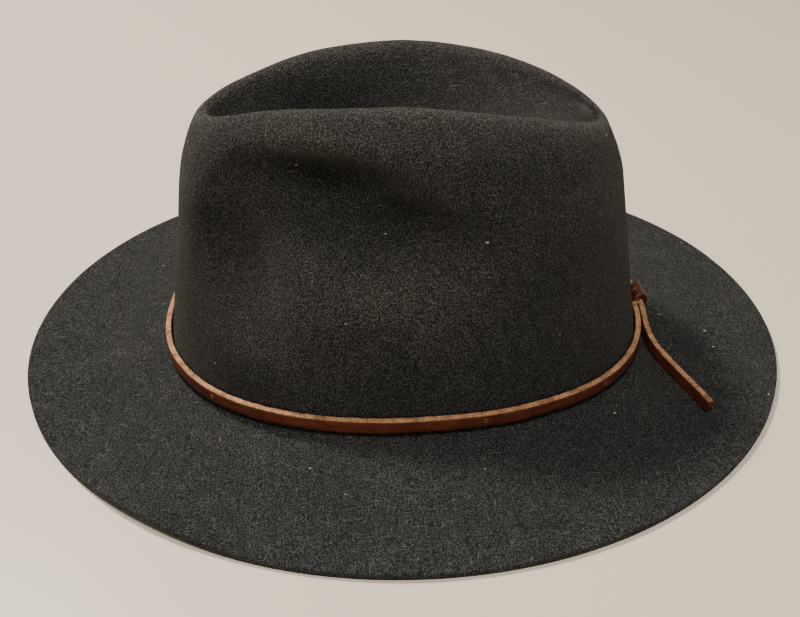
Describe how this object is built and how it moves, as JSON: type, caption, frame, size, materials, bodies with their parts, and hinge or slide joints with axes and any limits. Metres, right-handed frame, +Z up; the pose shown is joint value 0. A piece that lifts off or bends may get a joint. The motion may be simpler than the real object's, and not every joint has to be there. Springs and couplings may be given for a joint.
{
  "type": "fedora hat",
  "caption": "Raw-edge wool-felt fedora with a pinched teardrop crown, flat brim and a knotted flat leather lace as its hat band.",
  "frame": {"origin": "on the surface the brim rests on, under the middle of the brim", "axes": "+Z up, -Y towards the front of the hat, +X towards the wearer's left"},
  "size_m": [0.305, 0.337, 0.1238],
  "materials": {
    "felt": "charcoal wool felt, matte nap",
    "lace": "chestnut grain face with raw tan cut edges",
    "band_leather": "dark brown smooth leather",
    "reed_plastic": "satin",
    "cotton_tape": "woven cotton tape",
    "thread": "waxed thread",
    "ribbon": "ribbed satin ribbon",
    "label_cloth": "plain woven tape"
  },
  "bodies": {
    "hat": {"felt_body": "felt", "band_strap": "lace", "band_knot": "lace", "strap_tack_1": "thread", "strap_tack_2": "thread", "strap_tack_3": "thread", "strap_tack_4": "thread", "strap_tack_5": "thread", "strap_tack_6": "thread", "sweatband": "band_leather", "sweatband_join": "band_leather", "sweatband_reed": "reed_plastic", "reed_tape": "cotton_tape", "sweatband_stitching": "thread", "sweatband_bow": "ribbon", "size_label": "label_cloth", "care_label": "label_cloth"},
    "near_tail": {"near_tail": "lace"},
    "far_tail": {"far_tail": "lace"}
  },
  "joints": [
    {"name": "near_tail_lift", "type": "hinge", "parent": "hat", "child": "near_tail", "pos_m": [0.0126, 0.1087, 0.0096], "axis": [0, -1, 0], "range_deg": [0, 75]},
    {"name": "far_tail_lift", "type": "hinge", "parent": "hat", "child": "far_tail", "pos_m": [-0.0126, 0.1087, 0.0096], "axis": [0, 1, 0], "range_deg": [0, 75]}
  ]
}
